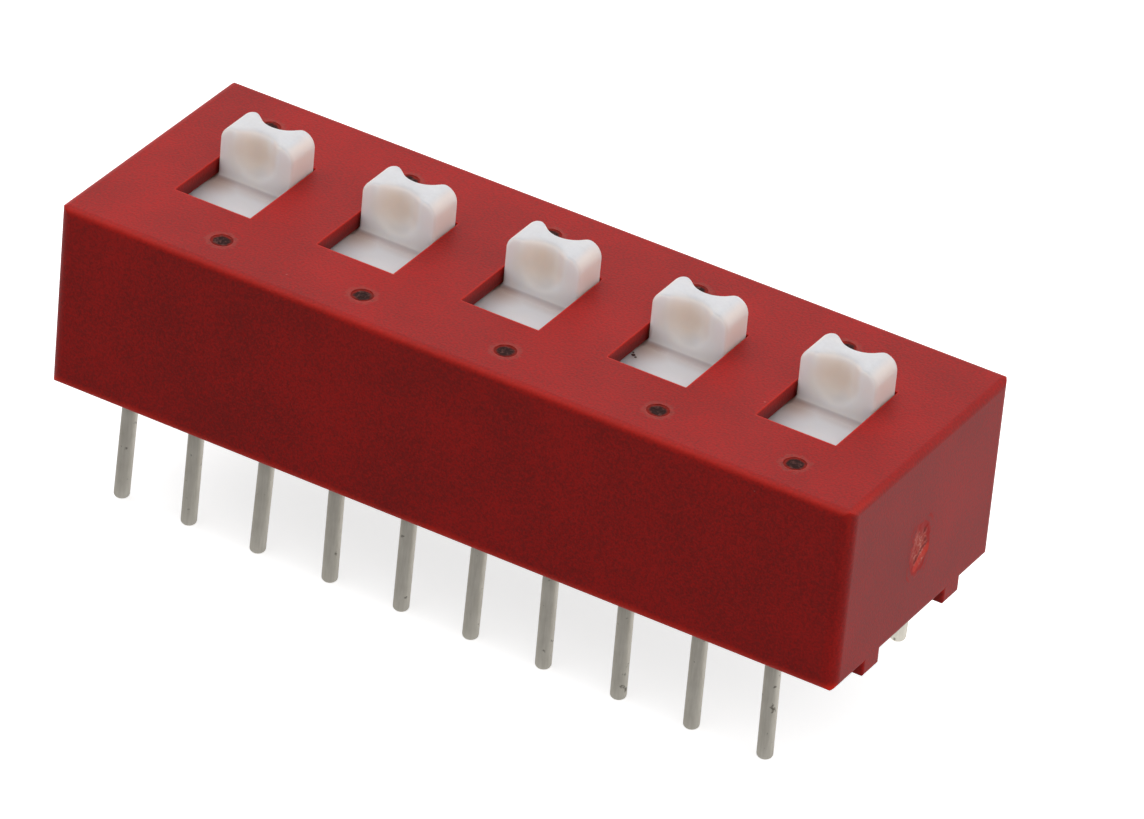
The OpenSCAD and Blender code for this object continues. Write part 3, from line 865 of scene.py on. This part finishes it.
def legLevels(legTop, tip, radius):
    # heights and widths of the rings of a leg: close where it bends, then even, then round the tip
    close = (-0.06, 0.02, 0.1, 0.18, 0.27, 0.36)
    roundTip = legBend["roundTip"]
    levels = [(legTop - down, 1.0) for down in close]
    levels += [(legTop - close[-1] - (legTop - close[-1] - tip - roundTip) * t / 12, 1.0) for t in range(1, 13)]
    for t in range(1, 6):
        turn = math.radians(18 * t)
        levels.append((tip + roundTip * (1 - math.sin(turn)), 1 - roundTip / radius * (1 - math.cos(turn))))
    return levels


def addLeg(bm, axis, radius, legTop, tip, side, n):
    # the bent round leg, which starts inside the rest of its terminal
    place = n - 1 if side < 0 else columns - n
    bend, lean = legBend["along"][place], legBend["tipLean"][place]
    around, over = legBend["around"], legBend["over"]
    last = None
    for z, width in legLevels(legTop, tip, radius):
        out = min(max((legTop - z) / over, 0.0), 1.0)
        out = out * out * (3 - 2 * out)
        low = min(max((legTop - over - z) / (legTop - over - tip), 0.0), 1.0)
        x = axis[0] + bend * out * (1 + 0.25 * low * wander((n, side * 3.0, 0), 1.3, 2.0)) + lean * low
        y = axis[1] + side * (legBend["outwardTop"] * out + (legBend["outwardTip"] - legBend["outwardTop"]) * low)
        wide = radius * width
        turns = [math.tau * a / around for a in range(around)]
        ring = [bm.verts.new(((x + wide * math.cos(turn)) * mm, (y + wide * math.sin(turn)) * mm, z * mm))
                for turn in turns]
        if last is None:
            bm.faces.new(ring)
        else:
            for a in range(around):
                b = (a + 1) % around
                bm.faces.new((last[a], ring[a], ring[b], last[b]))
        last = ring
    bm.faces.new(last[::-1])


tinned = tinPlateMat()
for row, side in (("front", -1), ("back", 1)):
    for n in range(1, columns + 1):
        points = corners(f"terminal_{row}_{n}")
        tip = points[:, 2].min()
        leg = points[points[:, 2] < tip + 1.0]
        axis = (leg.min(0) + leg.max(0)) / 2
        radius = np.ptp(leg[:, 0]) / 2
        # the leg is replaced from the lowest corners above it, or from a little lower
        level = points[points[:, 2] > tip + 1.0][:, 2]
        legTop = level[level < 1.0].min()
        legTop = min(legTop, legBend["highest"]) if legTop > 0 else legBend["highest"]
        bm = cutCopy(f"terminal_{row}_{n}", legTop + 0.002, False)
        addLeg(bm, axis, radius, legTop, tip, side, n)
        piece = makePiece(f"tinnedTerminal_{row}_{n}", bm, [tinned], "case", 40)
        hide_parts(f"terminal_{row}_{n}")
print("terminals bent")


# Epoxy poured over the base and cured: dark brown, glossy, level but for the menisci that climb the walls and legs
pouredEpoxy = {
    "colour": "#2E211A",
    "deep": "#1C1411",
    "roughness": 0.22,
    "climb": 0.09,         # mm, how high it wets the walls
    "ripple": 0.008,
    "step": 0.11,          # grid that its surface is made on
}


def pouredEpoxyMat():
    mat, place = newMaterial("pouredBrownEpoxy")
    flow = noiseTone(mat, place, 2.2, 3.0)
    colour = blended(mat, flow, pouredEpoxy["deep"], pouredEpoxy["colour"])
    bubbles = addNode(mat, "ShaderNodeTexVoronoi", {}, {"Vector": place, "Scale": perMm(0.7)})
    pinhole = ramp(mat, bubbles.outputs["Distance"], (0.05, 0.16))
    rough = ramp(mat, flow, (0.0, 1.0), (pouredEpoxy["roughness"] - 0.07, pouredEpoxy["roughness"] + 0.12))
    return finished(mat, colour, {"Roughness": rough, "IOR": 1.54}, (pinhole, 0.02, 0.5))


sealLow, sealHigh = (np.array(corner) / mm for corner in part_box("epoxy_seal"))
shanks = []
for row in ("front", "back"):
    for n in range(1, columns + 1):
        points = corners(f"terminal_{row}_{n}")
        shank = points[np.abs(points[:, 2] - sealLow[2]) < 0.2]
        shanks.append([*((shank.min(0) + shank.max(0)) / 2)[:2], *(np.ptp(shank, axis=0) / 2)[:2]])
shanks = np.array(shanks)
bm = cutCopy("epoxy_seal", sealLow[2] + 0.05, False)
step = pouredEpoxy["step"]
xs = np.linspace(sealLow[0], sealHigh[0], int((sealHigh[0] - sealLow[0]) / step) + 1)
ys = np.linspace(sealLow[1], sealHigh[1], int((sealHigh[1] - sealLow[1]) / step) + 1)
gridX, gridY = np.meshgrid(xs, ys, indexing="ij")
toEnd = np.minimum(gridX - sealLow[0], sealHigh[0] - gridX)
toWall = np.minimum(toEnd, np.minimum(gridY - sealLow[1], sealHigh[1] - gridY))
toShank = np.full(gridX.shape, 9.0)
for shankX, shankY, halfX, halfY in shanks:
    outside = np.hypot(np.maximum(np.abs(gridX - shankX) - halfX, 0), np.maximum(np.abs(gridY - shankY) - halfY, 0))
    toShank = np.minimum(toShank, outside)
level = sealLow[2] + 0.012 - pouredEpoxy["climb"] * (np.exp(-toWall / 0.16) + 0.8 * np.exp(-toShank / 0.12))
net = []
for i, x in enumerate(xs):
    heights = [level[i, j] + pouredEpoxy["ripple"] * wander((x, y, 0), 1.5, 6.0) for j, y in enumerate(ys)]
    net.append([bm.verts.new((x * mm, y * mm, z * mm)) for y, z in zip(ys, heights)])
for i in range(len(xs) - 1):
    for j in range(len(ys) - 1):
        bm.faces.new((net[i][j], net[i][j + 1], net[i + 1][j + 1], net[i + 1][j]))
# short skirt from the poured surface up to the cut
edgeLoop = [net[i][0] for i in range(len(xs))] + [net[-1][j] for j in range(1, len(ys))]
edgeLoop += [net[i][-1] for i in range(len(xs) - 2, -1, -1)] + [net[0][j] for j in range(len(ys) - 2, 0, -1)]
upper = [bm.verts.new((v.co.x, v.co.y, (sealLow[2] + 0.055) * mm)) for v in edgeLoop]
for i in range(len(edgeLoop)):
    j = (i + 1) % len(edgeLoop)
    bm.faces.new((edgeLoop[i], edgeLoop[j], upper[j], upper[i]))
seal = makePiece("pouredSeal", bm, [pouredEpoxyMat()], "case", 50)
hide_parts("epoxy_seal")

# Black glass filled nylon: satin, with short pale fibres just under the skin
glassNylon = {"colour": "#1D1D1F", "fibre": "#3A3A3C", "roughness": 0.5}


def glassNylonMat():
    mat, place = newMaterial("glassFilledNylon")
    along = addNode(mat, "ShaderNodeMapping", {}, {"Vector": place, "Scale": (0.2, 1.0, 1.0)})
    fibre = noiseTone(mat, along.outputs[0], 0.08, 2.0)
    tone = ramp(mat, fibre, (0.5, 0.75))
    colour = blended(mat, tone, glassNylon["colour"], glassNylon["fibre"])
    return finished(mat, colour, {"Roughness": glassNylon["roughness"], "IOR": 1.53}, (fibre, 0.008, 0.5))


dress("terminal_base", glassNylonMat())
print("base and seal finished")


# Hard drawn stainless wire: bright grey with fine lines round the wire from the die
springWire = {"colour": "#A7A5A1", "dull": "#8C8A86", "roughness": 0.32}
# Gold flash on rolled bronze balls: warm yellow, evenly bright, with fine tumbling marks
goldFlash = {"colour": "#D9A94E", "dull": "#B98A3C", "roughness": 0.24}


def drawnWireMat():
    mat, place = newMaterial("drawnStainlessWire")
    lines = noiseTone(mat, place, 0.05, 2.0)
    colour = blended(mat, lines, springWire["dull"], springWire["colour"])
    return finished(mat, colour, {"Metallic": 1.0, "Roughness": springWire["roughness"]}, (lines, 0.003, 0.5))


def goldFlashMat():
    mat, place = newMaterial("tumbledGoldFlash")
    marks = noiseTone(mat, place, 0.09, 3.0)
    colour = blended(mat, marks, goldFlash["dull"], goldFlash["colour"])
    return finished(mat, colour, {"Metallic": 1.0, "Roughness": goldFlash["roughness"]}, (marks, 0.003, 0.5))


wire, gold = drawnWireMat(), goldFlashMat()
for n in range(1, stations + 1):
    for side in ("left", "right"):
        dress(f"spring_{n}_{side}", wire)
        dress(f"contact_ball_{n}_{side}", gold)
print("springs and balls finished")

low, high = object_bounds()
